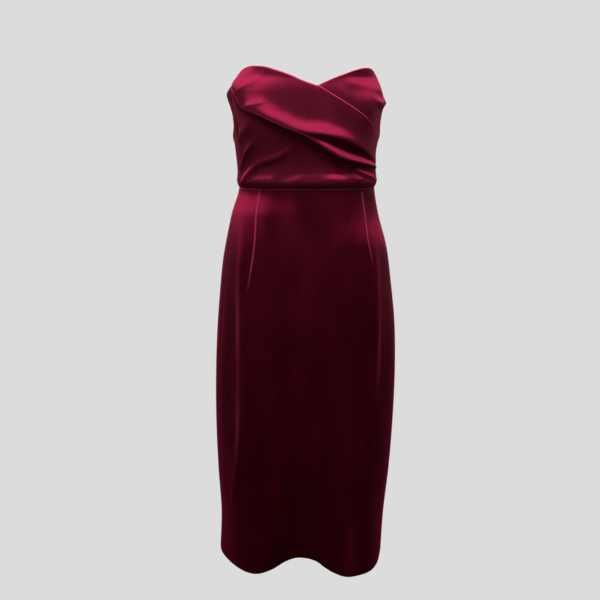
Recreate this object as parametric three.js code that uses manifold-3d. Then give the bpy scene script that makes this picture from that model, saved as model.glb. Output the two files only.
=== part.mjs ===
// Strapless velvet cocktail dress in its worn shape: a wrapped and pleated sweetheart bodice, a darted
// midi skirt and a concealed zip down the centre back. Millimetres, +Z up, the front faces -Y, and the
// origin is the middle of the waist seam. Every piece is a cloth wall between two grids of points.
// An angle is measured round the figure: 0 at the centre front, 90 at the +X side, 180 at the centre back.
// Left is -X, as the front is seen.
import * as THREE from "three";
import { mergeVertices } from "three/addons/utils/BufferGeometryUtils.js";
import Module from "manifold-3d";

const wasm = await Module();
wasm.setup();

// Cloth and seams
const clothThickness = 1.8;
const seamGap = 0.3;
const layerGap = 0.5;
const wrapInside = clothThickness + layerGap;
const wrapOutside = wrapInside + clothThickness;

// Panel edges, as angles
const sideSeam = 70;
const centreBack = 180;

// Hem height and where the skirt starts to wave towards it
const hemHeight = -715;
const waveStart = -300;
const wavePower = 1.7;

// Concealed zip: the tapes inside the back, and the notch that the two halves leave for the slider
const zipBottom = -205;
const zipTop = 154;
const zipNotchBottom = 137;
const zipNotchRise = 6;
const zipNotchHalfWidth = 1.25;
const tapeGap = 0.8;
const tapeThickness = 0.7;
const tapeColumns = [4, 8, 12];
const slider = {
  height: 146,
  width: 7,
  thickness: 3.2,
  length: 9,
  pivotStandOff: 2.2,
  eyeRadius: 1.9,
  eyeHoleRadius: 1.1,
  eyeThickness: 1.4,
};
const pull = {
  length: 20,
  halfWidth: 3,
  topHalfWidth: 2.2,
  barHalf: 0.45,
  windowHalfWidth: 1.2,
  windowFoot: 4.2,
  neck: 6,
};

const velvetColour = 0x5c1226;
const tapeColour = 0x3d0d1a;
const zipColour = 0x4a1522;

// Rings of the figure at the wearer's side of the cloth. The squareness is the power of the superellipse.
const rings = table(["height", "half", "front", "back", "shift", "square"], [
  [225, 121, 84, 86, -2, 2.2],
  [213, 127, 86.5, 87, -2.5, 2.2],
  [200, 133.5, 89, 88, -5, 2.2],
  [188, 140, 91, 89, -6.5, 2.2],
  [175, 143.5, 92.5, 90, -5.5, 2.2],
  [162, 143.7, 93, 91, -3.4, 2.2],
  [148, 141, 93, 91, -1.4, 2.2],
  [130, 137.3, 93, 91, -0.5, 2.15],
  [90, 133.5, 92, 89, -2, 2.15],
  [62, 130, 89.6, 88.4, -2.8, 2.18],
  [40, 129, 87.6, 88, -1.6, 2.2],
  [0, 126, 86, 88, -1, 2.25],
  [-50, 137.5, 92, 97, -4.5, 2.3],
  [-110, 151.5, 100, 111, -2.5, 2.35],
  [-180, 161.5, 107, 122, -2.5, 2.35],
  [-260, 169.5, 111, 123, -2, 2.35],
  [-350, 173, 111, 117, -3, 2.35],
  [-450, 172, 112, 111, -5, 2.35],
  [-550, 167, 114, 106, -7, 2.35],
  [-640, 159.5, 116, 104, -9.5, 2.35],
  [-730, 158.5, 118, 104, -14, 2.35],
]);

// How far the cups stand out of the rings, by height, and how that spreads round the front
const cupProfile = table(["height", "out"], [
  [225, 7], [214, 4.8], [208, 3.6], [202, 2.5], [198, 2], [194, 1.8], [188, 2.1], [184, 2.5], [178, 3.2],
  [170, 4.4], [160, 6.1], [150, 7.7], [140, 8.7], [125, 8.8], [110, 7.5], [95, 5.8], [80, 4], [60, 1.5],
  [40, 0],
]);
const cupSpread = table(["angle", "share"], [
  [-78, 0], [-66, 0.15], [-58, 0.5], [-48, 1], [-36, 1.05], [-24, 0.8], [-12, 0.65], [0, 0.6],
  [12, 0.65], [24, 0.8], [36, 1.05], [48, 1], [58, 0.5], [66, 0.15], [78, 0],
]);

// The bodice blouses a little over the waist seam
const blouse = table(["height", "out"], [
  [0, 0], [3, 1.8], [7, 3.6], [11, 4.6], [14, 4.4], [21, 2.9], [29, 1], [38, 0.1], [60, 0],
]);

// The hem's waves all the way round: outwards from the rings, and the hem's rise above its height
const hemWave = table(["angle", "out", "rise"], [
  [-180, 2, 0], [-158, -6, 0], [-134, 9, 0], [-106, 2, 0], [-76, 1, 0], [-64, 3, 0], [-52, 10, 0],
  [-43, 18, 0], [-35, 25, 0], [-28, 24, 0], [-20, 8, 3], [-12, -16, 8], [-3, -25, 12], [5, -14, 8],
  [10, 6, 2], [14, 20, -2], [20, 35, -5], [28, 38, -5], [38, 31, -7], [50, 17, -8], [64, 5, -6.5],
  [78, 1.5, -4.5], [112, 4, -2.5], [136, 10, 0], [160, -6, 0], [180, 2, 0],
]);

// Soft folds that run down the skirt, each as a line of angles from its top to its foot
const skirtFolds = [
  { name: "left hip", top: -40, foot: -640, angles: [-59, -51, -47, -48, -62], out: 3.4, width: 13 },
  { name: "right hip", top: -95, foot: -420, angles: [53, 49, 46, 44, 42], out: 1.8, width: 12 },
  { name: "right of centre", top: -80, foot: -640, angles: [16, 18, 12, 8, 9], out: 2, width: 26 },
  { name: "left back", top: -120, foot: -640, angles: [-128, -132, -136, -138, -138], out: 3, width: 16 },
  { name: "right back", top: -100, foot: -640, angles: [122, 128, 134, 138, 138], out: 3, width: 18 },
];

// Waist darts: the seam line's angles from the waist to the point
const darts = {
  frontLeft: { length: 200, angles: [-44.8, -42, -39.8, -39.6, -41, -43] },
  frontRight: { length: 150, angles: [45.5, 46.2, 45.4, 43, 43.4, 45.5] },
  backLeft: { length: 130, angles: [-143, -142.6, -142.4, -142.2, -142, -142] },
  backRight: { length: 130, angles: [143, 142.6, 142.4, 142.2, 142, 142] },
};
const dartDepth = 1.1;
const dartHalfWidth = 1.3;

// Top edges of the pieces: the over wrap runs from the left side seam over its cup to the V, then down
// across the front, and the under wrap comes out from beneath it at the V
const overTop = table(["angle", "height"], [
  [-70, 185], [-67.5, 200.5], [-64.5, 210], [-60, 214], [-54, 216], [-46, 216], [-36, 214], [-26, 208.5],
  [-19, 204], [-12, 198.5], [-6, 192], [-1, 186.5], [3, 182], [6, 180], [10.5, 171], [16.5, 161],
  [22, 152.5], [29, 142.5], [36.5, 132.5], [44.5, 121.5], [55, 107.5], [70, 94],
]);
const underTop = table(["angle", "height"], [
  [-70, 62], [-50, 95], [-30, 132], [-12, 165], [-2, 176], [4, 180.5], [8, 185.5], [12, 190], [18.5, 196.5],
  [25.5, 202], [33.5, 208], [43, 213], [53.5, 215], [60, 214.5], [65, 212.5], [70, 207],
]);
const backTop = table(["angle", "left", "right"], [
  [70, 185, 207], [76, 178, 200], [84, 173, 187], [95, 169, 176], [115, 163, 166], [145, 158, 158],
  [180, 156, 156],
]);

// Lines of the over wrap's pleats at angles across the front: heights of the wide band's crest, the
// groove and the ridge below it, and the folded lip under which the lower bodice comes out
const pleatHeights = table(["angle", "band", "groove", "ridge", "lip"], [
  [-70, 180.5, 179, 177.5, 176],
  [-62, 174, 173, 171.5, 170],
  [-54, 148, 146.5, 145, 143.5],
  [-46, 140, 138.5, 137, 135.5],
  [-36, 131, 129.5, 128, 126.5],
  [-24, 117.5, 116, 114.5, 113],
  [-12, 104.5, 103, 101.5, 100],
  [-5, 99, 96.5, 94.5, 92.5],
  [0, 97.5, 92, 87, 84.5],
  [12, 93, 81, 68.5, 64.5],
  [24, 85.5, 69, 55.5, 51.5],
  [40, 70.5, 58.5, 48, 45],
  [55, 59, 50, 42.5, 40],
  [70, 50, 43, 37, 35],
]);

// How far the pleats stand out of the wrap along those lines, and how that falls off above the band
const pleatLifts = table(["angle", "band", "groove", "ridge", "lip"], [
  [-70, 0.6, 0.8, 1, 1.1],
  [-62, 2.2, 2.6, 3, 3.2],
  [-54, 4.2, 4.6, 5, 5.2],
  [-46, 6.2, 6.5, 6.8, 7],
  [-36, 8.2, 8.5, 8.8, 9],
  [-24, 9.8, 10.1, 10.4, 10.6],
  [-12, 10.8, 11, 11.2, 11.2],
  [-5, 11.4, 10.8, 11, 11],
  [0, 11.8, 9.4, 10.4, 10.6],
  [12, 12, 4.4, 10.4, 10.8],
  [24, 11.4, 2.8, 10, 10.4],
  [40, 9, 1.8, 8.6, 9],
  [55, 4.6, 1.1, 6.2, 6.4],
  [70, 1, 0.6, 1.8, 1.9],
]);
const bandFall = 20;
const bandFallPower = 1.5;
const lipHeight = 2.4;
const underLipLift = 0.4;
const crestOfBlouse = 13;
const footOfBlouse = 34;
const aboveBlouse = 4;

// Creases that pull across the lower bodice: heights at five even steps between two angles
const creases = [
  { name: "steep pull", from: -73, to: -42, heights: [27, 44, 64, 76, 86], out: 4.2, width: 4 },
  { name: "long pull", from: -74, to: -8, heights: [0, 28, 47, 58, 80], out: 3.8, width: 5 },
  { name: "side fullness", from: -72, to: -44, heights: [78, 90, 101, 108, 112], out: 3.8, width: 9 },
  { name: "small side pleat", from: 34, to: 70, heights: [34, 28, 23, 18, 12], out: 2, width: 4 },
];

// Small tuck beside the right cup, which runs over the side seam onto the back bodice
const sideTuck = { from: 48, to: 112, heights: [157, 152.5, 155, 158, 160], out: 6, width: 6 };

// Grid sizes
const overColumns = 38;
const overSections = [
  { from: "seam", to: "blouse", rows: 3 },
  { from: "blouse", to: "plain", rows: 3 },
  { from: "plain", to: "foot", rows: 6 },
  { from: "foot", to: "lip", rows: 1 },
  { from: "lip", to: "ridge", rows: 1 },
  { from: "ridge", to: "groove", rows: 2 },
  { from: "groove", to: "band", rows: 2 },
  { from: "band", to: "top", rows: 8 },
];
const blouseRows = [seamGap / 2, 4, 8, 12, 17, 24, 34, 46];
const overInsideRows = 14;
const underColumns = 36;
const underOutsideRows = 16;
const underInsideRows = 8;
const backColumns = 13;
const backBodiceShares = [0, 0.05, 0.12, 0.22, 0.34, 0.46, 0.57, 0.66, 0.715, 0.765, 0.815, 0.87, 0.935, 1];
const skirtShares = [
  0, 0.04, 0.085, 0.13, 0.18, 0.25, 0.33, 0.43, 0.53, 0.62,
  0.69, 0.745, 0.79, 0.83, 0.865, 0.9, 0.935, 0.965, 0.99, 1,
];
const dartFade = 3;
const millimetresPerDegree = 2.2;

function table(columns, rows) {
  return Object.fromEntries(columns.map((name, k) => [name, rows.map((row) => row[k])]));
}

// Smooth curve through a table: a cubic between rows, with each row's slope taken from its neighbours
function read(source, at, key, value) {
  const x = source[at];
  const y = source[key];
  const sign = x[1] > x[0] ? 1 : -1;
  const last = x.length - 1;
  const clamped = sign * Math.min(Math.max(sign * value, sign * x[0]), sign * x[last]);
  let k = 0;
  while (k < last - 1 && sign * clamped > sign * x[k + 1]) k += 1;
  const slope = (i) => {
    const a = Math.max(i - 1, 0);
    const b = Math.min(i + 1, last);
    return (y[b] - y[a]) / (x[b] - x[a]);
  };
  const step = x[k + 1] - x[k];
  const t = (clamped - x[k]) / step;
  const t2 = t * t;
  const t3 = t2 * t;
  return (2 * t3 - 3 * t2 + 1) * y[k] + (t3 - 2 * t2 + t) * step * slope(k)
    + (3 * t2 - 2 * t3) * y[k + 1] + (t3 - t2) * step * slope(k + 1);
}

function smooth(t) {
  const c = Math.min(Math.max(t, 0), 1);
  return c * c * (3 - 2 * c);
}

// Value at share t along a smooth curve through values at even steps
function along(values, t) {
  const steps = { share: values.map((_, k) => k / (values.length - 1)), value: values };
  return read(steps, "share", "value", t);
}

function signedPower(value, power) {
  return Math.sign(value) * Math.abs(value) ** power;
}

// Point on the ring at a height, moved out by a distance along the ring's own normal
function ringPoint(angle, height, out) {
  const [half, front, back, shift, square] = ["half", "front", "back", "shift", "square"]
    .map((key) => read(rings, "height", key, height));
  const a = THREE.MathUtils.degToRad(angle);
  const depth = Math.cos(a) > 0 ? front : back;
  const normal = new THREE.Vector2(
    signedPower(Math.sin(a), 2 - 2 / square) / half,
    -signedPower(Math.cos(a), 2 - 2 / square) / depth,
  ).normalize();
  return new THREE.Vector3(
    shift + half * signedPower(Math.sin(a), 2 / square) + normal.x * out,
    -depth * signedPower(Math.cos(a), 2 / square) + normal.y * out,
    height,
  );
}

// Everything that shapes both faces of the cloth: cups, blousing, hem waves and the skirt's long folds
function figureOut(angle, height) {
  if (height >= 0) {
    return read(cupProfile, "height", "out", height) * read(cupSpread, "angle", "share", angle)
      + read(blouse, "height", "out", height);
  }
  const share = Math.max((waveStart - height) / (waveStart - hemHeight), 0);
  let out = read(hemWave, "angle", "out", angle) * share ** wavePower;
  for (const fold of skirtFolds) {
    const t = (fold.top - height) / (fold.top - fold.foot);
    if (t > 0 && t < 1) {
      const near = (angle - along(fold.angles, t)) * 2.4 / fold.width;
      out += fold.out * Math.exp(-near * near) * smooth(t * 4) * smooth((1 - t) * 4);
    }
  }
  return out;
}

function clothPoint(angle, height, out) {
  return ringPoint(angle, height, figureOut(angle, height) + out);
}

// Angle of the line that lies a distance from a seam, on its side towards higher (+1) or lower (-1) angles
function besideSeam(seam, side, height, distance) {
  if (Math.abs(seam) === centreBack) {
    const half = read(rings, "height", "half", height);
    const square = read(rings, "height", "square", height);
    return seam + side * THREE.MathUtils.radToDeg(Math.asin((distance / half) ** (square / 2)));
  }
  const perDegree = ringPoint(seam - 0.5, height, 0).distanceTo(ringPoint(seam + 0.5, height, 0));
  return seam + side * distance / perDegree;
}

// Edge of a panel on a seam: half the gap away, and further at the centre back beside the zip's slider
function panelEdge(seam, side, height) {
  const notch = Math.abs(seam) === centreBack ? smooth((height - zipNotchBottom) / zipNotchRise) : 0;
  return besideSeam(seam, side, height, seamGap / 2 + notch * zipNotchHalfWidth);
}

// Even angles between two seams, with the ends kept off them at a height
function evenAngles(from, to, columns, height) {
  return spread([panelEdge(from, 1, height), panelEdge(to, -1, height)], [columns]);
}

// Values that run through a list of stops, with a count of even steps between each two
function spread(stops, counts) {
  const values = [stops[0]];
  counts.forEach((count, k) => {
    for (let step = 1; step <= count; step += 1) {
      values.push(THREE.MathUtils.lerp(stops[k], stops[k + 1], step / count));
    }
  });
  return values;
}

// Raised crease: a soft ridge whose height falls off away from its line and towards both its ends
function creaseLift(crease, angle, height) {
  const t = (angle - crease.from) / (crease.to - crease.from);
  if (t <= 0 || t >= 1) return 0;
  const rise = (crease.heights.at(-1) - crease.heights[0]) / ((crease.to - crease.from) * millimetresPerDegree);
  const off = (height - along(crease.heights, t)) / (crease.width * Math.hypot(1, rise));
  return crease.out * Math.exp(-off * off) * smooth(t * 5) * smooth((1 - t) * 3.5);
}

// Closed wall between an outer and an inner grid, rows going up and columns to higher angles. Both
// grids have the same number of columns, and their side edges are laced together by height.
function wallGeometry(outer, inner) {
  const points = [];
  const faces = [];
  const number = (grid) => grid.map((row) => row.map((point) => points.push(point) - 1));
  const o = number(outer);
  const i = number(inner);
  const quad = (a, b, c, d) => faces.push(a, b, c, a, c, d);
  const columns = o[0].length - 1;
  for (let j = 0; j < columns; j += 1) {
    for (let k = 0; k < o.length - 1; k += 1) quad(o[k][j], o[k][j + 1], o[k + 1][j + 1], o[k + 1][j]);
    for (let k = 0; k < i.length - 1; k += 1) quad(i[k][j], i[k + 1][j], i[k + 1][j + 1], i[k][j + 1]);
    quad(i[0][j], i[0][j + 1], o[0][j + 1], o[0][j]);
    quad(o.at(-1)[j], o.at(-1)[j + 1], i.at(-1)[j + 1], i.at(-1)[j]);
  }
  for (const [j, flip] of [[0, false], [columns, true]]) {
    const lace = (p, q, r) => (flip ? faces.push(q, p, r) : faces.push(p, q, r));
    let a = 0;
    let b = 0;
    while (a < o.length - 1 || b < i.length - 1) {
      const outerNext = a < o.length - 1 ? points[o[a + 1][j]].z : Infinity;
      const innerNext = b < i.length - 1 ? points[i[b + 1][j]].z : Infinity;
      if (outerNext <= innerNext) {
        lace(o[a][j], o[a + 1][j], i[b][j]);
        a += 1;
      } else {
        lace(i[b + 1][j], i[b][j], o[a][j]);
        b += 1;
      }
    }
  }
  const geometry = new THREE.BufferGeometry().setFromPoints(points);
  geometry.setIndex(faces);
  geometry.computeVertexNormals();
  return geometry;
}

// Grid of cloth points. Rows go up by their shares of the way between the panel's bottom and top edges.
function panelGrid(shares, anglesAt, bottomAt, topAt, outAt) {
  return shares.map((share) => anglesAt(share).map((angle, column) => {
    const height = THREE.MathUtils.lerp(bottomAt(angle), topAt(angle), share);
    return clothPoint(angle, height, outAt(angle, height, column));
  }));
}

// Plain grid of a front wrap: rows at fixed heights over the blousing, then even ones up to the top edge
function wrapGrid(columns, rows, topAt, outAt) {
  const angles = spread([-sideSeam, sideSeam], [columns]);
  const shares = spread([0, 1], [rows]).slice(1);
  const grid = (heightAt) => angles.map((angle) => {
    const height = heightAt(topAt(angle));
    return clothPoint(offSeams(angle, height), height, outAt(angle, height));
  });
  return [
    ...blouseRows.map((height) => grid(() => height)),
    ...shares.map((share) => grid((top) => THREE.MathUtils.lerp(blouseRows.at(-1), top, share))),
  ];
}

const seamAbove = () => seamGap / 2;
const seamBelow = () => -seamGap / 2;
const hemAt = (angle) => hemHeight + read(hemWave, "angle", "rise", angle);

function addPiece(name, geometry, material) {
  const mesh = new THREE.Mesh(geometry, material);
  mesh.name = name;
  dress.add(mesh);
}

// Over wrap: its outside follows the lines of the pleats, its inside is plain
function overWrap() {
  const footAt = (angle) => read(pleatHeights, "angle", "lip", angle) - lipHeight;
  const lineAt = {
    seam: () => [seamGap / 2, 0],
    blouse: () => [crestOfBlouse, 0],
    plain: (angle) => [Math.min(footOfBlouse, footAt(angle) - aboveBlouse), 0],
    foot: (angle) => [footAt(angle), underLipLift],
    lip: (angle) => [read(pleatHeights, "angle", "lip", angle), read(pleatLifts, "angle", "lip", angle)],
    ridge: (angle) => [read(pleatHeights, "angle", "ridge", angle), read(pleatLifts, "angle", "ridge", angle)],
    groove: (angle) => [read(pleatHeights, "angle", "groove", angle), read(pleatLifts, "angle", "groove", angle)],
    band: (angle) => [read(pleatHeights, "angle", "band", angle), read(pleatLifts, "angle", "band", angle)],
    top: (angle) => [read(overTop, "angle", "height", angle), 0],
  };
  const rows = [{ from: "seam", to: "seam", share: 0 }];
  for (const section of overSections) {
    for (let k = 1; k <= section.rows; k += 1) rows.push({ ...section, share: k / section.rows });
  }
  const outer = rows.map(({ from, to, share }) => (
    spread([-sideSeam, sideSeam], [overColumns]).map((angle) => {
      const [low, lowLift] = lineAt[from](angle);
      const [high, highLift] = lineAt[to](angle);
      const height = THREE.MathUtils.lerp(low, high, share);
      const above = (high - low) * share;
      const bend = from === "band" ? 1 - Math.exp(-((above / bandFall) ** bandFallPower)) : smooth(share);
      const pleat = THREE.MathUtils.lerp(lowLift, highLift, bend);
      const crease = creases.reduce((sum, row) => sum + creaseLift(row, angle, height), 0);
      return clothPoint(offSeams(angle, height), height, wrapOutside + pleat + crease);
    })
  ));
  const topAt = (angle) => read(overTop, "angle", "height", angle);
  const inner = wrapGrid(overColumns, overInsideRows, topAt, () => wrapInside);
  return wallGeometry(outer, inner);
}

// An angle on a side seam is moved off it to the front panel's edge
function offSeams(angle, height) {
  return Math.abs(angle) === sideSeam ? panelEdge(angle, -Math.sign(angle), height) : angle;
}

function tuckedOut(angle, height) {
  return clothThickness + creaseLift(sideTuck, angle, height);
}

function underWrap() {
  const topAt = (angle) => read(underTop, "angle", "height", angle);
  const outer = wrapGrid(underColumns, underOutsideRows, topAt, tuckedOut);
  const inner = wrapGrid(underColumns, underInsideRows, topAt, () => 0);
  return wallGeometry(outer, inner);
}

// Back bodice half between the side seam and the centre back, on the side given by its sign
function backBodice(side) {
  const key = side > 0 ? "right" : "left";
  const topAt = (angle) => read(backTop, "angle", key, Math.abs(angle));
  const heightAt = (share) => share * read(backTop, "angle", key, centreBack);
  const anglesAt = (share) => (side > 0
    ? evenAngles(sideSeam, centreBack, backColumns, heightAt(share))
    : evenAngles(-centreBack, -sideSeam, backColumns, heightAt(share)));
  const outer = panelGrid(backBodiceShares, anglesAt, seamAbove, topAt, tuckedOut);
  const inner = panelGrid(backBodiceShares, anglesAt, seamAbove, topAt, () => 0);
  return wallGeometry(outer, inner);
}

// Skirt panel between two seams. Columns run down each dart's seam line and close on both sides of it,
// and the outside is drawn in along that line.
function skirtPanel(from, to, dartsHere, counts) {
  const roughHeight = (share) => hemHeight * (1 - share);
  const dartAngle = (dart, height) => along(dart.angles, -height / dart.length);
  const anglesAt = (share) => {
    const height = roughHeight(share);
    const seamLines = dartsHere.flatMap((dart) => (
      [-dartHalfWidth, 0, dartHalfWidth].map((beside) => dartAngle(dart, height) + beside)
    ));
    return spread([panelEdge(from, 1, height), ...seamLines, panelEdge(to, -1, height)], counts);
  };
  const dartColumns = dartsHere.map((_, k) => counts.slice(0, 3 * k + 2).reduce((sum, count) => sum + count, 0));
  const outside = (angle, height, column) => {
    const dart = dartsHere[dartColumns.indexOf(column)];
    return clothThickness - (dart ? dartDepth * smooth((1 + height / dart.length) * dartFade) : 0);
  };
  const outer = panelGrid(skirtShares, anglesAt, hemAt, seamBelow, outside);
  const inner = panelGrid(skirtShares, anglesAt, hemAt, seamBelow, () => 0);
  return wallGeometry(outer, inner);
}

// Heights of the back's own rows that the zip's tapes follow
function tapeHeights() {
  const inSkirt = skirtShares.map((share) => hemHeight * (1 - share));
  const inBodice = backBodiceShares.map((share) => share * read(backTop, "angle", "left", centreBack));
  return [...inSkirt, ...inBodice.slice(1)].filter((height) => height > zipBottom && height < zipTop);
}

// Zip tape on the inside of one back half, from the opening's edge outwards
function zipTape(side) {
  const seam = side * centreBack;
  const columnsAt = (height) => {
    const edge = panelEdge(seam, -side, height);
    const others = tapeColumns.map((distance) => besideSeam(seam, -side, height, distance));
    return side > 0 ? [...others.reverse(), edge] : [edge, ...others];
  };
  const face = (out) => [zipBottom, ...tapeHeights(), zipTop].map((height) => (
    columnsAt(height).map((angle) => clothPoint(angle, height, out))
  ));
  return wallGeometry(face(-tapeGap), face(-tapeGap - tapeThickness));
}

// Closed three.js geometry as a manifold solid, and back
function toSolid(geometry) {
  const bare = geometry.clone();
  bare.deleteAttribute("normal");
  bare.deleteAttribute("uv");
  const merged = mergeVertices(bare, 1e-4);
  return new wasm.Manifold(new wasm.Mesh({
    numProp: 3,
    vertProperties: new Float32Array(merged.attributes.position.array),
    triVerts: new Uint32Array(merged.index.array),
  }));
}

function toGeometry(solid) {
  const { vertProperties, triVerts } = solid.getMesh();
  const geometry = new THREE.BufferGeometry();
  geometry.setAttribute("position", new THREE.BufferAttribute(vertProperties, 3));
  geometry.setIndex(new THREE.BufferAttribute(triVerts, 1));
  geometry.computeVertexNormals();
  return geometry;
}

const backFace = clothPoint(centreBack, slider.height, 0).y;
const pullPivot = new THREE.Vector3(
  clothPoint(centreBack, slider.height, 0).x,
  backFace + clothThickness + slider.pivotStandOff,
  slider.height,
);

// Slider body behind the tapes, with a flat eye that reaches out between the two halves
function zipSlider() {
  const outerFace = backFace - tapeGap - tapeThickness - seamGap;
  const body = new THREE.BoxGeometry(slider.width, slider.thickness, slider.length)
    .translate(pullPivot.x, outerFace - slider.thickness / 2, slider.height);
  const eye = new THREE.Shape();
  const reach = pullPivot.y - outerFace + slider.thickness / 2;
  eye.moveTo(-reach, -slider.eyeRadius);
  eye.lineTo(0, -slider.eyeRadius);
  eye.absarc(0, 0, slider.eyeRadius, -Math.PI / 2, Math.PI / 2);
  eye.lineTo(-reach, slider.eyeRadius);
  eye.closePath();
  eye.holes.push(new THREE.Path().absarc(0, 0, slider.eyeHoleRadius, 0, 2 * Math.PI));
  const plate = new THREE.ExtrudeGeometry(eye, {
    depth: slider.eyeThickness,
    bevelEnabled: false,
    curveSegments: 8,
  });
  plate.translate(0, 0, -slider.eyeThickness / 2);
  plate.applyMatrix4(new THREE.Matrix4().makeBasis(
    new THREE.Vector3(0, 1, 0),
    new THREE.Vector3(0, 0, 1),
    new THREE.Vector3(1, 0, 0),
  ));
  plate.translate(pullPivot.x, pullPivot.y, pullPivot.z);
  return toGeometry(toSolid(body).add(toSolid(plate)));
}

// Teardrop tab that hangs on the eye by the bar across its top
function zipPull() {
  const outline = new THREE.Shape();
  outline.moveTo(-pull.topHalfWidth, pull.barHalf);
  outline.lineTo(-pull.topHalfWidth, -pull.neck);
  outline.lineTo(-pull.halfWidth, -pull.length + pull.halfWidth);
  outline.absarc(0, -pull.length + pull.halfWidth, pull.halfWidth, Math.PI, 2 * Math.PI);
  outline.lineTo(pull.topHalfWidth, -pull.neck);
  outline.lineTo(pull.topHalfWidth, pull.barHalf);
  outline.closePath();
  const window = new THREE.Path();
  window.moveTo(-pull.windowHalfWidth, -pull.barHalf);
  window.lineTo(pull.windowHalfWidth, -pull.barHalf);
  window.lineTo(pull.windowHalfWidth, -pull.windowFoot);
  window.lineTo(-pull.windowHalfWidth, -pull.windowFoot);
  window.closePath();
  outline.holes.push(window);
  const tab = new THREE.ExtrudeGeometry(outline, {
    depth: 2 * pull.barHalf,
    bevelEnabled: false,
    curveSegments: 8,
  });
  tab.translate(0, 0, -pull.barHalf);
  tab.rotateX(Math.PI / 2);
  tab.translate(pullPivot.x, pullPivot.y, pullPivot.z);
  return toGeometry(toSolid(tab));
}

const velvet = new THREE.MeshStandardMaterial({ color: velvetColour, roughness: 0.85, metalness: 0 });
const tape = new THREE.MeshStandardMaterial({ color: tapeColour, roughness: 0.8, metalness: 0 });
const enamel = new THREE.MeshStandardMaterial({ color: zipColour, roughness: 0.4, metalness: 0.3 });

const dress = new THREE.Group();
addPiece("bodice_under_wrap", underWrap(), velvet);
addPiece("bodice_over_wrap", overWrap(), velvet);
addPiece("bodice_back_left", backBodice(-1), velvet);
addPiece("bodice_back_right", backBodice(1), velvet);
addPiece("skirt_front", skirtPanel(-sideSeam, sideSeam, [darts.frontLeft, darts.frontRight],
  [6, 1, 1, 22, 1, 1, 6]), velvet);
addPiece("skirt_back_left", skirtPanel(-centreBack, -sideSeam, [darts.backLeft], [6, 1, 1, 8]), velvet);
addPiece("skirt_back_right", skirtPanel(sideSeam, centreBack, [darts.backRight], [8, 1, 1, 6]), velvet);
addPiece("zip_tape_left", zipTape(-1), tape);
addPiece("zip_tape_right", zipTape(1), tape);
addPiece("zip_slider", zipSlider(), enamel);
addPiece("zip_pull", zipPull(), enamel);

export default dress;
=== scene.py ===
import bmesh
import bpy
import numpy as np
from mathutils import Matrix, Vector


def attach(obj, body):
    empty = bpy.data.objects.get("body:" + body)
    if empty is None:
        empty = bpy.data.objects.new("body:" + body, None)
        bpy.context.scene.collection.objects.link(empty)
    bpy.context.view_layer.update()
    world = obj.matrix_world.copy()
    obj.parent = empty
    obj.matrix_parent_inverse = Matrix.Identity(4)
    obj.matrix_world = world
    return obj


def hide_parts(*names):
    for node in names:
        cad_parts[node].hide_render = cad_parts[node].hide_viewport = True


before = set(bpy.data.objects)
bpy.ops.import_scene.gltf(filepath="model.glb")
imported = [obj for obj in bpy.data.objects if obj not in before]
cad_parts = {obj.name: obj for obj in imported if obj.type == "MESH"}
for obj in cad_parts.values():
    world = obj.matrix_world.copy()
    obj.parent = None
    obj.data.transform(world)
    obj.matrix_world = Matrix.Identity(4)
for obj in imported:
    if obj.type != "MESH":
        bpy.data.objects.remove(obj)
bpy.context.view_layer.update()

# Strapless velvet cocktail dress in its worn shape. Angles are in degrees round the figure, 0 at the
# centre front and 90 at the +X side, and heights in millimetres from the waist seam.
mm = 0.001


# The studio: one even pale grey for floor and backdrop, the camera where the photograph was taken from,
# and soft lights: two from high in front aimed at the bodice, weaker ones at the front and both sides,
# and five round the back, which the photograph's view hardly sees.
backdrop_colour = (0.716, 0.716, 0.716, 1)
floor_height = -1.12
floor_reach = 9
camera_distance = 1700 * mm
camera_azimuth = np.radians(-5.5)
camera_tilt = np.radians(9.564)
camera_aim_height = 69 * mm
camera_sideways = -14 * mm
camera_lens = 53.416
sensor_width = 36

right = np.array([np.cos(camera_azimuth), np.sin(camera_azimuth), 0])
level = np.array([-np.sin(camera_azimuth), np.cos(camera_azimuth), 0])
forward = level * np.cos(camera_tilt) - np.array([0, 0, np.sin(camera_tilt)])
up = np.cross(right, forward)
place = -level * camera_distance + right * camera_sideways + np.array([0, 0, camera_aim_height])
camera = bpy.data.objects.new("camera", bpy.data.cameras.new("camera"))
camera.data.lens = camera_lens
camera.data.sensor_width = sensor_width
facing_rows = np.stack([right, up, -forward], 1)
camera.matrix_world = Matrix([[*row, shift] for row, shift in zip(facing_rows, place)] + [[0, 0, 0, 1]])
bpy.context.collection.objects.link(camera)
bpy.context.scene.camera = camera
bpy.context.scene.view_settings.view_transform = "Standard"


def area_light(name, place, aim, size, power, colour, spread):
    """Square light at a place, turned to face its aim, with a spread in degrees."""
    lamp = bpy.data.lights.new(name, "AREA")
    lamp.size = size
    lamp.energy = power
    lamp.color = colour
    lamp.spread = np.radians(spread)
    light = bpy.data.objects.new(name, lamp)
    light.location = place
    light.rotation_euler = (Vector(aim) - Vector(place)).to_track_quat("-Z", "Y").to_euler()
    bpy.context.collection.objects.link(light)


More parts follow.
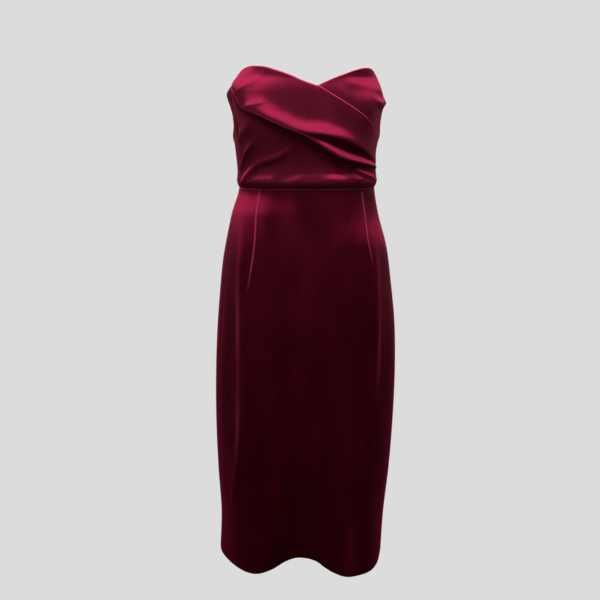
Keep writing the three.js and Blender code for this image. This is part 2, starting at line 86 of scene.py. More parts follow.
warm_white = (1, 0.97, 0.95)
soft_white = (1, 0.98, 0.97)
all_round = 180
area_light("overhead left", (-0.7, -0.9, 1.75), (0, 0, 0.2), 0.6, 5, warm_white, 45)
area_light("overhead right", (0.6, -0.85, 1.65), (0, 0, 0.2), 0.6, 3.7, warm_white, 45)
area_light("left side", (-1.5, -0.9, 0.5), (0, 0, 0), 0.8, 7, soft_white, all_round)
area_light("right side", (1.3, -1.3, 0.6), (0, 0, 0), 0.8, 3.5, soft_white, all_round)
area_light("front", (-0.2, -2.6, 0.6), (0, 0, 0.1), 1.2, 1.6, soft_white, 50)
area_light("far left", (-2, 1.1, 0.2), (0, 0, -0.25), 1.2, 20, soft_white, all_round)
area_light("far right", (2, 1, 0.2), (0, 0, -0.25), 1.2, 22, soft_white, all_round)
area_light("behind left", (-0.8, 1.1, 1.5), (0, 0, -0.1), 0.8, 26, soft_white, all_round)
area_light("behind right", (0.8, 1.2, 1.3), (0, 0, -0.1), 0.8, 22, soft_white, all_round)
area_light("behind", (0.1, 2.6, 0.4), (0, 0, -0.1), 1.6, 64, soft_white, all_round)

grey = bpy.data.materials.new("pale studio grey")
grey.use_nodes = True
grey.node_tree.nodes.clear()
glow = grey.node_tree.nodes.new("ShaderNodeEmission")
glow.inputs["Color"].default_value = backdrop_colour
studio_output = grey.node_tree.nodes.new("ShaderNodeOutputMaterial")
grey.node_tree.links.new(glow.outputs["Emission"], studio_output.inputs["Surface"])


def studio_sheet(name, corners):
    """Flat sheet of the studio between four corners, which doesn't light the dress."""
    mesh = bpy.data.meshes.new(name)
    mesh.from_pydata(corners, [], [(0, 1, 2, 3)])
    mesh.materials.append(grey)
    sheet = bpy.data.objects.new(name, mesh)
    sheet.visible_diffuse = False
    sheet.visible_glossy = False
    bpy.context.collection.objects.link(sheet)


studio_sheet("floor", [(floor_reach * x, floor_reach * y, floor_height)
                       for x, y in ((-1, -1), (1, -1), (1, 1), (-1, 1))])
world = bpy.data.worlds.new("studio air")
world.use_nodes = True
world.node_tree.nodes["Background"].inputs["Color"].default_value = backdrop_colour
world.cycles_visibility.diffuse = False
world.cycles_visibility.glossy = False
bpy.context.scene.world = world

# Under wrap of the bodice: velvet, cut to cover the cup at the right and run beneath the over wrap to
# the left side seam. It is sewn into both side seams and the waist seam, and tucked beside the cup.
cloth_thickness = 1.8
seam_gap = 0.3
side_seam = 70
centre_back = 180
hem_height = -715
wave_start = -300
wave_power = 1.7

# Rings of the figure by height: half width, depth to the front and back, shift to the right, and power
# of the superellipse
rings = np.array([
    [225, 121, 84, 86, -2, 2.2], [213, 127, 86.5, 87, -2.5, 2.2], [200, 133.5, 89, 88, -5, 2.2],
    [188, 140, 91, 89, -6.5, 2.2], [175, 143.5, 92.5, 90, -5.5, 2.2], [162, 143.7, 93, 91, -3.4, 2.2],
    [148, 141, 93, 91, -1.4, 2.2], [130, 137.3, 93, 91, -0.5, 2.15], [90, 133.5, 92, 89, -2, 2.15],
    [62, 130, 89.6, 88.4, -2.8, 2.18], [40, 129, 87.6, 88, -1.6, 2.2], [0, 126, 86, 88, -1, 2.25],
    [-50, 137.5, 92, 97, -4.5, 2.3], [-110, 151.5, 100, 111, -2.5, 2.35], [-180, 161.5, 107, 122, -2.5, 2.35],
    [-260, 169.5, 111, 123, -2, 2.35], [-350, 173, 111, 117, -3, 2.35], [-450, 172, 112, 111, -5, 2.35],
    [-550, 167, 114, 106, -7, 2.35], [-640, 159.5, 116, 104, -9.5, 2.35], [-730, 158.5, 118, 104, -14, 2.35],
])
# How far the cups stand out of the rings by height, and how that spreads by angle
cup_profile = np.array([
    [225, 7], [214, 4.8], [208, 3.6], [202, 2.5], [198, 2], [194, 1.8], [188, 2.1], [184, 2.5], [178, 3.2],
    [170, 4.4], [160, 6.1], [150, 7.7], [140, 8.7], [125, 8.8], [110, 7.5], [95, 5.8], [80, 4], [60, 1.5],
    [40, 0],
])
cup_spread = np.array([
    [-78, 0], [-66, 0.15], [-58, 0.5], [-48, 1], [-36, 1.05], [-24, 0.8], [-12, 0.65], [0, 0.6],
    [12, 0.65], [24, 0.8], [36, 1.05], [48, 1], [58, 0.5], [66, 0.15], [78, 0],
])
# Blousing over the waist seam by height
blouse = np.array([[0, 0], [3, 1.8], [7, 3.6], [11, 4.6], [14, 4.4], [21, 2.9], [29, 1], [38, 0.1], [60, 0]])
# The hem's waves by angle: outwards, and the rise of its edge
hem_wave = np.array([
    [-180, 2, 0], [-158, -6, 0], [-134, 9, 0], [-106, 2, 0], [-76, 1, 0], [-64, 3, 0], [-52, 10, 0],
    [-43, 18, 0], [-35, 25, 0], [-28, 24, 0], [-20, 8, 3], [-12, -16, 8], [-3, -25, 12], [5, -14, 8],
    [10, 6, 2], [14, 20, -2], [20, 35, -5], [28, 38, -5], [38, 31, -7], [50, 17, -8], [64, 5, -6.5],
    [78, 1.5, -4.5], [112, 4, -2.5], [136, 10, 0], [160, -6, 0], [180, 2, 0],
])
# Long soft folds of the skirt: top, foot, how far out, width, how strong a highlight is painted on the
# crest, and angles at even steps down
skirt_folds = [
    (-40, -640, 3.4, 13, 0.22, [-59, -51, -47, -48, -62]),
    (-95, -420, 1.8, 12, 0.2, [53, 49, 46, 44, 42]),
    (-80, -640, 2, 26, 0, [16, 18, 12, 8, 9]),
    (-120, -640, 3, 16, 0.2, [-128, -132, -136, -138, -138]),
    (-100, -640, 3, 18, 0.2, [122, 128, 134, 138, 138]),
    (-150, -560, 2.2, 13, 0.15, [-163, -160, -157, -158, -161]),
    (-230, -650, 2.4, 14, 0.15, [160, 157, 156, 158, 161]),
    (-70, -360, 1.7, 11, 0.12, [-92, -97, -102, -105, -106]),
    (-90, -430, 1.9, 12, 0.12, [87, 92, 97, 100, 102]),
]
# Top edge of the under wrap by angle
under_top = np.array([
    [-70, 62], [-50, 95], [-30, 132], [-12, 165], [-2, 176], [4, 180.5], [8, 185.5], [12, 190], [18.5, 196.5],
    [25.5, 202], [33.5, 208], [43, 213], [53.5, 215], [60, 214.5], [65, 212.5], [70, 207],
])
# Creases: from and to angles, how far out, width, and heights at even steps between the angles
side_tuck = (48, 112, 5, 8, [157, 152.5, 155, 158, 160])
cup_ledge = (20, 76, 1.2, 10, [188, 187, 184, 179, 172])


def read(rows, column, at):
    """Smooth curve through a table: a cubic between rows, each row's slope taken from its neighbours."""
    key, value = rows[:, 0], rows[:, column]
    way = np.sign(key[-1] - key[0])
    at = np.clip(at, key.min(), key.max())
    k = np.clip(np.searchsorted(way * key, way * at, side="right") - 1, 0, len(key) - 2)
    before = np.maximum(np.arange(len(key)) - 1, 0)
    after = np.minimum(np.arange(len(key)) + 1, len(key) - 1)
    slope = (value[after] - value[before]) / (key[after] - key[before])
    step = key[k + 1] - key[k]
    t = (at - key[k]) / step
    return ((2 * t**3 - 3 * t**2 + 1) * value[k] + (t**3 - 2 * t**2 + t) * step * slope[k]
            + (3 * t**2 - 2 * t**3) * value[k + 1] + (t**3 - t**2) * step * slope[k + 1])


def smooth(t):
    """Soft step: 3 t squared less 2 t cubed, held at 0 and 1 outside its range."""
    t = np.clip(t, 0, 1)
    return t * t * (3 - 2 * t)


def along(values, t):
    """Value at share t along a smooth curve through values at even steps."""
    return read(np.stack([np.linspace(0, 1, len(values)), values], 1), 1, t)


def ring_point(angle, height, out):
    """Point on the superellipse ring of a height, moved out along the ring's own normal, in metres."""
    half, front, back, shift, square = (read(rings, column, height) for column in range(1, 6))
    sine, cosine = np.sin(np.radians(angle)), np.cos(np.radians(angle))
    depth = np.where(cosine > 0, front, back)
    normal_x = np.sign(sine) * np.abs(sine) ** (2 - 2 / square) / half
    normal_y = -np.sign(cosine) * np.abs(cosine) ** (2 - 2 / square) / depth
    length = np.hypot(normal_x, normal_y)
    x = shift + half * np.sign(sine) * np.abs(sine) ** (2 / square) + out * normal_x / length
    y = -depth * np.sign(cosine) * np.abs(cosine) ** (2 / square) + out * normal_y / length
    return np.stack(np.broadcast_arrays(x, y, height), -1) * mm


# Rough millimetres round the skirt for one degree, and how fast a long fold fades at its ends
skirt_degree = 2.4
fold_fade = 4


def figure_out(angle, height):
    """Distance off the rings: cups and blousing lift the bodice, hem waves and long folds the skirt. A
    fold is a bell across its line, faded in and out over a quarter of its length."""
    bodice = read(cup_profile, 1, height) * read(cup_spread, 1, angle) + read(blouse, 1, height)
    share = np.maximum((wave_start - height) / (wave_start - hem_height), 0)
    skirt = read(hem_wave, 1, angle) * share**wave_power
    for top, foot, out, width, _, angles in skirt_folds:
        t = (top - height) / (top - foot)
        near = (angle - along(angles, t)) * skirt_degree / width
        skirt = skirt + out * np.exp(-near**2) * smooth(t * fold_fade) * smooth((1 - t) * fold_fade)
    return np.where(height >= 0, bodice, skirt)


def cloth(angle, height, out):
    """Cloth point at an angle and height, a distance out of the figure's shaped rings."""
    return ring_point(angle, height, figure_out(angle, height) + out)


def degree_length(angle, height):
    """Millimetres round the figure for one degree."""
    step = ring_point(angle + 0.5, height, 0) - ring_point(angle - 0.5, height, 0)
    return np.linalg.norm(step, axis=-1) / mm


def beside_seam(seam, side, height, distance):
    """Angle of the line a distance from a seam, on its side towards higher (+1) or lower (-1) angles."""
    if abs(seam) == centre_back:
        half, square = read(rings, 1, height), read(rings, 5, height)
        return seam + side * np.degrees(np.arcsin((distance / half) ** (square / 2)))
    return seam + side * distance / degree_length(seam, height)


zip_notch_bottom = 137
zip_notch_rise = 6
zip_notch_half_width = 1.25


def panel_edge(seam, side, height):
    """Edge of a panel: half the seam's gap away, and more at the centre back beside the zip's slider."""
    notch = smooth((height - zip_notch_bottom) / zip_notch_rise) if abs(seam) == centre_back else 0
    return beside_seam(seam, side, height, seam_gap / 2 + notch * zip_notch_half_width)


# Rough millimetres round the bodice for one degree, and how fast a crease fades in and out
bodice_degree = 2.2
crease_start = 5
crease_end = 3.5


def crease_lift(crease, angle, height):
    """How far a crease lifts the cloth: a bell across its line, fading in over the first fifth of its
    length and out over the last two sevenths."""
    start, end, out, width, heights = crease
    t = (angle - start) / (end - start)
    rise = (heights[-1] - heights[0]) / ((end - start) * bodice_degree)
    off = (height - along(heights, t)) / (width * np.hypot(1, rise))
    inside = (t > 0) & (t < 1)
    fade = smooth(t * crease_start) * smooth((1 - t) * crease_end)
    return np.where(inside, out * np.exp(-off**2) * fade, 0)


def roll(distance, radius):
    """Depth by which an edge rolls in: a quarter circle within its radius of the edge."""
    left = radius - np.clip(distance, 0, radius)
    return radius - np.sqrt(radius**2 - left**2)


def spread(stops, counts):
    """Values that run through stops, with a count of even steps between each two, as columns."""
    parts = [np.linspace(a, b, n, endpoint=False) for a, b, n in zip(stops, stops[1:], counts)]
    return np.concatenate([*parts, [stops[-1] + 0 * np.asarray(stops[0])]]).T


# Close columns: their width at a panel's edges in millimetres, and their reach beside a dart in degrees
edge_step = 0.8
beside_dart = 1.5


def panel_columns(start, end, height, count, panel_darts=()):
    """Angles across a panel for each row, closer at both side edges and on both sides of each dart."""
    first, last = panel_edge(start, 1, height), panel_edge(end, -1, height)
    near = edge_step / degree_length(start, height)
    stops, counts = [first, first + near, first + 4 * near], [3, 4]
    for dart in panel_darts:
        middle = along(dart["angles"], -height / dart["length"])
        stops += [middle - beside_dart, middle, middle + beside_dart]
        counts += [None, 6, 6]
    stops += [last - 4 * near, last - near, last]
    counts += [None, 4, 3]
    gaps = [float(np.mean(b - a)) for a, b in zip(stops, stops[1:])]
    wide = sum(gap for gap, n in zip(gaps, counts) if n is None)
    counts = [n or max(int(count * gap / wide), 2) for gap, n in zip(gaps, counts)]
    return spread(stops, counts)


# Rim of a cloth wall: how far it bulges for its thickness, and how far it reaches into a seam's gap
edge_bulge = 0.3
seam_reach = 0.52


def sewn_shell(name, outer, inner, angle, height, line_highlight, turned, finishes):
    """Closed cloth wall between an outer and an inner grid of points, rows going up and columns to
    higher angles, joined by a rim that stands out from the middle of the wall, and at the side edges
    reaches over half the seam's gap. Line highlight holds the painted highlight at each outer point, where
    the pile parts along seams and edges, turned where cloth is turned in on the inside and shows its pile."""
    rows, columns = outer.shape[:2]
    number = np.arange(rows * columns).reshape(rows, columns)
    loop = np.concatenate([number[0], number[1:, -1], number[-1, -2::-1], number[-2:0:-1, 0]])
    inwards = np.concatenate([number[1], number[1:, -2], number[-2, -2::-1], number[-2:0:-1, 1]])
    flat_outer, flat_inner = outer.reshape(-1, 3), inner.reshape(-1, 3)
    middle = (flat_outer[loop] + flat_inner[loop]) / 2
    away = middle - (flat_outer[inwards] + flat_inner[inwards]) / 2
    away /= np.maximum(np.linalg.norm(away, axis=1, keepdims=True), 1e-9)
    thickness = np.linalg.norm(flat_outer[loop] - flat_inner[loop], axis=1, keepdims=True)
    across = np.isin(loop, np.concatenate([number[0], number[-1]]))[:, None]
    rim = middle + away * np.where(across, edge_bulge * thickness, seam_reach * seam_gap * mm)
    points = np.concatenate([flat_outer, flat_inner, rim])
    a, b, c, d = number[:-1, :-1], number[:-1, 1:], number[1:, 1:], number[1:, :-1]
    outside = np.stack([a, b, c, d], -1).reshape(-1, 4)
    inside = np.stack([a, d, c, b], -1).reshape(-1, 4) + rows * columns
    ring = np.arange(len(loop)) + 2 * rows * columns
    after, ring_after = np.roll(loop, -1), np.roll(ring, -1)
    outer_rim = np.stack([after, loop, ring, ring_after], -1)
    inner_rim = np.stack([ring_after, ring, loop + rows * columns, after + rows * columns], -1)
    faces = np.concatenate([outside, inside, outer_rim, inner_rim])
    mesh = bpy.data.meshes.new(name)
    mesh.from_pydata(points, [], faces.tolist())
    turned_faces = turned[:-1, :-1] & turned[1:, 1:]
    finish = np.concatenate([np.zeros(len(outside)), np.where(turned_faces, 0, 1).ravel(),
                             np.zeros(len(outer_rim) + len(inner_rim))]).astype(np.int32)
    for material in finishes:
        mesh.materials.append(material)
    mesh.polygons.foreach_set("material_index", finish)
    mesh.shade_smooth()
    corner = np.zeros(len(mesh.loops), dtype=np.int32)
    mesh.loops.foreach_get("vertex_index", corner)
    plan = np.stack([angle * skirt_degree * mm, height * mm], -1).reshape(-1, 2)
    plan = np.concatenate([plan, plan, plan[loop]])
    mesh.uv_layers.new(name="cloth").data.foreach_set("uv", plan[corner].ravel())
    # How far the outside faces up, which the velvet turns into a painted highlight
    facing = np.cross(np.gradient(outer, axis=1), np.gradient(outer, axis=0))
    upward = (facing[..., 2] / np.maximum(np.linalg.norm(facing, axis=-1), 1e-12)).ravel()
    for label, value in (("line_highlight", line_highlight.ravel()), ("upward", upward)):
        data = mesh.attributes.new(label, "FLOAT", "POINT").data
        on_rim = np.where(across[:, 0], value[loop], 0)
        data.foreach_set("value", np.concatenate([value, np.zeros(rows * columns), on_rim]))
    mesh.update()
    mesh.validate()
    piece = bpy.data.objects.new(name, mesh)
    bpy.context.collection.objects.link(piece)
    return piece


def node_group(name, inputs, outputs):
    """Empty shader node group with named inputs and outputs, and its two end nodes."""
    group = bpy.data.node_groups.new(name, "ShaderNodeTree")
    for label, kind, value in inputs:
        socket = group.interface.new_socket(label, in_out="INPUT", socket_type=kind)
        socket.default_value = value
    for label, kind in outputs:
        group.interface.new_socket(label, in_out="OUTPUT", socket_type=kind)
    return group, group.nodes.new("NodeGroupInput"), group.nodes.new("NodeGroupOutput")


def maths(tree, operation, *values):
    """Math node with numbers or sockets as its inputs."""
    node = tree.nodes.new("ShaderNodeMath")
    node.operation = operation
    for socket, value in zip(node.inputs, values):
        if isinstance(value, bpy.types.NodeSocket):
            tree.links.new(value, socket)
        else:
            socket.default_value = value
    return node.outputs[0]


def blend_colours(tree, share, first, second):
    """Mix node between two colours, by a share."""
    node = tree.nodes.new("ShaderNodeMix")
    node.data_type = "RGBA"
    for socket, value in zip((node.inputs["Factor"], node.inputs[6], node.inputs[7]), (share, first, second)):
        if isinstance(value, bpy.types.NodeSocket):
            tree.links.new(value, socket)
        else:
            socket.default_value = value
    return node.outputs[2]


def noise(tree, where, scale, detail):
    """Noise texture read at a place."""
    node = tree.nodes.new("ShaderNodeTexNoise")
    node.inputs["Detail"].default_value = detail
    tree.links.new(where, node.inputs["Vector"])
    if isinstance(scale, bpy.types.NodeSocket):
        tree.links.new(scale, node.inputs["Scale"])
    else:
        node.inputs["Scale"].default_value = scale
    return node.outputs["Fac"]


# Pile group: a highlight is painted where the cloth's outside tilts up towards the lamps overhead, and
# highlight lines are painted where the pile parts along seams, darts and folded edges. Broad strokes, longer
# down the cloth than across it, show the brushing of the nap, and a fine grain shows its ends.
pile, pile_in, pile_out = node_group("velvet pile", [
    ("Colour", "NodeSocketColor", (0.1, 0.01, 0.02, 1)),
    ("Nap and highlight colour", "NodeSocketColor", (0.2, 0.02, 0.05, 1)),
    ("Line highlight colour", "NodeSocketColor", (0.5, 0.1, 0.2, 1)),
    ("Stroke scale", "NodeSocketFloat", 26),
    ("Grain scale", "NodeSocketFloat", 1500),
    ("Line highlight", "NodeSocketFloat", 0),
    ("Upward", "NodeSocketFloat", 0),
], [("Colour", "NodeSocketColor"), ("Height", "NodeSocketFloat"), ("Roughness", "NodeSocketFloat")])
pile_place = pile.nodes.new("ShaderNodeTexCoord").outputs["Object"]
stroke_place = pile.nodes.new("ShaderNodeMapping")
stroke_place.inputs["Scale"].default_value = (1, 1, 0.3)
pile.links.new(pile_place, stroke_place.inputs["Vector"])
strokes = noise(pile, stroke_place.outputs[0], pile_in.outputs["Stroke scale"], 3)
strokes = maths(pile, "SMOOTH_MIN", maths(pile, "MULTIPLY_ADD", strokes, 2.6, -0.9), 1, 0.2)
# How far the cloth's outside faces up, made a little uneven by the strokes
upward = maths(pile, "MULTIPLY_ADD", strokes, 0.03, pile_in.outputs["Upward"])
grain = noise(pile, pile_place, pile_in.outputs["Grain scale"], 1)
# Painted highlight for the overhead lamps: none on upright cloth, full where the cloth tilts up
slope = pile.nodes.new("ShaderNodeMapRange")
slope.interpolation_type = "SMOOTHSTEP"
slope.inputs["From Min"].default_value = 0.15
slope.inputs["From Max"].default_value = 0.33
pile.links.new(upward, slope.inputs["Value"])
# Share of the painted highlight, with the strokes adding the nap's own unevenness
nap_highlight_share = maths(pile, "MULTIPLY_ADD", strokes, 0.08, slope.outputs["Result"])
nap_highlight_mix = blend_colours(pile, nap_highlight_share, pile_in.outputs["Colour"], pile_in.outputs["Nap and highlight colour"])
grained = blend_colours(pile, maths(pile, "MULTIPLY", grain, 0.35), nap_highlight_mix, (0, 0, 0, 1))
# Painted highlight lines where the pile parts along seams, darts and edges
with_line_highlight = blend_colours(pile, pile_in.outputs["Line highlight"], grained, pile_in.outputs["Line highlight colour"])
pile.links.new(with_line_highlight, pile_out.inputs["Colour"])
pile.links.new(maths(pile, "MULTIPLY_ADD", strokes, 0.6, grain), pile_out.inputs["Height"])
pile.links.new(maths(pile, "MULTIPLY_ADD", grain, 0.15, 0.6), pile_out.inputs["Roughness"])


def bare_material(name):
    """Material with an empty Principled shader, and its tree."""
    material = bpy.data.materials.new(name)
    material.use_nodes = True
    return material, material.node_tree, material.node_tree.nodes["Principled BSDF"]


def bump_from(tree, height, distance, shader):
    """Bump of a height, over a distance in metres, into the shader's normal."""
    bump = tree.nodes.new("ShaderNodeBump")
    bump.inputs["Distance"].default_value = distance
    tree.links.new(height, bump.inputs["Height"])
    tree.links.new(bump.outputs["Normal"], shader.inputs["Normal"])


def velvet_material():
    """Short crimson pile: near black, with a painted rose highlight where the cloth tilts up and along lines
    where the pile parts, and a little rose sheen where the view grazes it."""
    material, tree, shader = bare_material("crimson velvet")
    surface = tree.nodes.new("ShaderNodeGroup")
    surface.node_tree = pile
    surface.inputs["Colour"].default_value = (0.022, 0.0004, 0.0024, 1)
    # Painted highlight colours: for cloth tilted up, with the nap's strokes, and for lines where the pile
    # parts
    surface.inputs["Nap and highlight colour"].default_value = (0.2, 0.008, 0.034, 1)
    surface.inputs["Line highlight colour"].default_value = (0.36, 0.036, 0.09, 1)
    for label, socket in (("line_highlight", "Line highlight"), ("upward", "Upward")):
        attribute = tree.nodes.new("ShaderNodeAttribute")
        attribute.attribute_name = label
        tree.links.new(attribute.outputs["Fac"], surface.inputs[socket])
    tree.links.new(surface.outputs["Colour"], shader.inputs["Base Color"])
    tree.links.new(surface.outputs["Roughness"], shader.inputs["Roughness"])
    bump_from(tree, surface.outputs["Height"], 0.0003, shader)
    shader.inputs["Specular IOR Level"].default_value = 0.01
    shader.inputs["Sheen Weight"].default_value = 0.18
    shader.inputs["Sheen Roughness"].default_value = 0.4
    shader.inputs["Sheen Tint"].default_value = (0.7, 0.02, 0.11, 1)
    return material


# Weave group: threads crossing over and under on the piece's own plan, with uneven yarn
weave, weave_in, weave_out = node_group("plain weave", [
    ("Colour", "NodeSocketColor", (0.1, 0.01, 0.02, 1)),
    ("Thread colour", "NodeSocketColor", (0.2, 0.02, 0.05, 1)),
    ("Threads", "NodeSocketFloat", 1600),
], [("Colour", "NodeSocketColor"), ("Height", "NodeSocketFloat")])
weave_place = weave.nodes.new("ShaderNodeUVMap")
weave_place.uv_map = "cloth"
weave_axes = weave.nodes.new("ShaderNodeSeparateXYZ")
weave.links.new(weave_place.outputs[0], weave_axes.inputs[0])
half_waves = maths(weave, "MULTIPLY", weave_in.outputs["Threads"], np.pi)
warp = maths(weave, "SINE", maths(weave, "MULTIPLY", weave_axes.outputs[0], half_waves))
weft = maths(weave, "SINE", maths(weave, "MULTIPLY", weave_axes.outputs[1], half_waves))
threads = maths(weave, "MULTIPLY_ADD", maths(weave, "MULTIPLY", warp, weft), 0.5, 0.5)
yarn = noise(weave, weave_place.outputs[0], 900, 2)
weave.links.new(blend_colours(weave, maths(weave, "MULTIPLY", threads, yarn), weave_in.outputs["Colour"],
                              weave_in.outputs["Thread colour"]), weave_out.inputs["Colour"])
weave.links.new(threads, weave_out.inputs["Height"])


def woven_material(name, colour, thread_colour, threads_per_metre, roughness):
    """Matte woven cloth in two close colours."""
    material, tree, shader = bare_material(name)
    surface = tree.nodes.new("ShaderNodeGroup")
    surface.node_tree = weave
    surface.inputs["Colour"].default_value = colour
    surface.inputs["Thread colour"].default_value = thread_colour
    surface.inputs["Threads"].default_value = threads_per_metre
    tree.links.new(surface.outputs["Colour"], shader.inputs["Base Color"])
    bump_from(tree, surface.outputs["Height"], 0.0002, shader)
    shader.inputs["Roughness"].default_value = roughness
    shader.inputs["Specular IOR Level"].default_value = 0.2
    return material


velvet = velvet_material()
wrong_side = woven_material("velvet ground", (0.045, 0.004, 0.011, 1), (0.09, 0.01, 0.022, 1), 1600, 0.85)
velvet_finishes = [velvet, wrong_side]

# The turnings inside, how the edges roll in, a faint painted fill that lifts the shade all over the
# bodice, and highlight lines painted where the pile parts along seams and edges, each of a width and a
# strength
turned_in = 12
turned_layer = 0.7
edge_roll = 1.1
waist_roll = 1
top_roll = 0.8
top_roll_share = 0.6
bodice_painted_fill = 0.05
seam_line = (0.7, 0.3)
top_line = (0.8, 0.6)


def turned_edge(distance):
    """Inside of a cloth wall by its distance from an edge: two layers to the end of the turning, then one."""
    return turned_layer * smooth(distance - turned_in)


def edge_line(distance, width, strength=1):
    """Painted highlight beside an edge or seam line, where the pile parts: a bell of its width, as high as
    its strength.
    """
    return strength * np.exp(-(distance / width) ** 2)


def most(*partings):
    """The largest of several painted highlight lines at each point."""
    return np.maximum.reduce(np.broadcast_arrays(*partings))


def side_distance(angle, height, start, end):
    """Distance to the nearer of a panel's two side edges."""
    clear_of_join = np.clip(angle, 2 - centre_back, centre_back - 2)
    return np.minimum(angle - start, end - angle) * degree_length(clear_of_join, height)


def bodice_rolls(side, height, top):
    """Depth by which a bodice panel's outside rolls in at its sides, waist seam and top edge."""
    return roll(side, edge_roll) + roll(height, waist_roll) + roll(top - height, top_roll) * top_roll_share


# Height taken for a bodice panel's top edge where its columns are set
usual_top = 170


def bodice_panel(name, start, end, columns, rows, top_at, creases):
    """Bodice panel on the figure between two seams, from the waist seam to its top edge."""
    share = spread([0, 0.02, 0.98, 1], [5, rows, 5])[:, None]
    angle = panel_columns(start, end, share[:, 0] * usual_top, columns)
    top = top_at(angle)
    height = seam_gap / 2 + (top - seam_gap / 2) * share
    side = side_distance(angle, height, start, end)
    crease = sum(crease_lift(row, angle, height) for row in creases)
    inner_edge = np.minimum(np.minimum(side, height), top - height)
    outer = cloth(angle, height, cloth_thickness + crease - bodice_rolls(side, height, top))
    inner = cloth(angle, height, turned_edge(inner_edge))
    # Painted highlight along the side seams and top edge, where the pile parts, over the bodice's faint
    # painted fill
    line_highlight = most(edge_line(side, *seam_line), edge_line(top - height, *top_line), bodice_painted_fill)
    return sewn_shell(name, outer, inner, angle, height, line_highlight, inner_edge < turned_in, velvet_finishes)


def sewn_sheet(piece, node):
    """Sets a velvet panel in its CAD node's place, held by what it is sewn to, and hides the node."""
    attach(piece, "dress")
    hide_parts(node)


under_wrap = bodice_panel("under_wrap", -side_seam, side_seam, 120, 90,
                          lambda angle: read(under_top, 1, angle), [side_tuck, cup_ledge])
sewn_sheet(under_wrap, "bodice_under_wrap")

# Over wrap of the bodice: velvet, laid over the under wrap from the left side seam and cup across to
# the right seam. Its fullness is folded into a wide band over a lip, caught in the side seams.
wrap_inside = 2.3
wrap_outside = 4.1
# Top edge of the over wrap by angle
over_top = np.array([
    [-70, 185], [-67.5, 200.5], [-64.5, 210], [-60, 214], [-54, 216], [-46, 216], [-36, 214], [-26, 208.5],
    [-19, 204], [-12, 198.5], [-6, 192], [-1, 186.5], [3, 182], [6, 180], [10.5, 171], [16.5, 161],
    [22, 152.5], [29, 142.5], [36.5, 132.5], [44.5, 121.5], [55, 107.5], [70, 94],
])
# Heights of the band's crest, the groove and ridge below it, and the folded lip, by angle
pleat_heights = np.array([
    [-70, 180.5, 179, 177.5, 176], [-62, 174, 173, 171.5, 170], [-54, 148, 146.5, 145, 143.5],
    [-46, 140, 138.5, 137, 135.5], [-36, 131, 129.5, 128, 126.5], [-24, 117.5, 116, 114.5, 113],
    [-12, 104.5, 103, 101.5, 100], [-5, 99, 96.5, 94.5, 92.5], [0, 97.5, 92, 87, 84.5],
    [12, 93, 81, 68.5, 64.5], [24, 85.5, 69, 55.5, 51.5], [40, 70.5, 58.5, 48, 45],
    [55, 59, 50, 42.5, 40], [70, 50, 43, 37, 35],
])
# How far the wrap stands out along those four lines
pleat_lifts = np.array([
    [-70, 0.6, 0.8, 1, 1.1], [-62, 2.2, 2.6, 3, 3.2], [-54, 4.2, 4.6, 5, 5.2], [-46, 6.2, 6.5, 6.8, 7],
    [-36, 8.2, 8.5, 8.8, 9], [-24, 9.8, 10.1, 10.4, 10.6], [-12, 10.8, 11, 11.2, 11.2],
    [-5, 11.4, 10.8, 11, 11], [0, 11.8, 9.4, 10.4, 10.6], [12, 12, 4.4, 10.4, 10.8],
    [24, 11.4, 2.8, 10, 10.4], [40, 9, 1.8, 8.6, 9], [55, 4.6, 1.1, 6.2, 6.4], [70, 1, 0.6, 1.8, 1.9],
])
# The lip folds round a half circle with a pocket under it, both smaller where it stands out less
under_lip_lift = 0.4
lip_radius = 1.5
lip_radius_share = 0.36
lip_pocket = 5
lip_pocket_share = 1.5
band_fall = 20
blouse_crest = 13
# Painted highlight lines along the top edge and the lip, each a width and a strength
wrap_top_line = (0.9, 0.65)
lip_line = (0.9, 0.15)
# Creases, as for the under wrap
over_creases = [
    (-73, -42, 4.2, 5, [25, 42, 62, 74, 84]),
    (-74, -8, 3.4, 6, [-1, 26, 45, 56, 78]),
    (-72, -44, 3.8, 9, [78, 90, 101, 108, 112]),
    (-72, -20, 0.7, 6, [6, 11, 14, 15, 14]),
    (4, 52, 0.8, 6, [16, 17, 17, 16, 14]),
    (34, 70, 2, 4, [34, 28, 23, 18, 12]),
    (-34, -2, -0.7, 8, [6, 13, 20, 27, 33]),
    (12, 40, -0.6, 7, [30, 25, 19, 14, 9]),
    (-54, -30, 0.8, 5, [140, 144, 148, 151, 153]),
    (-60, -32, 0.6, 7, [168, 178, 186, 193, 198]),
]


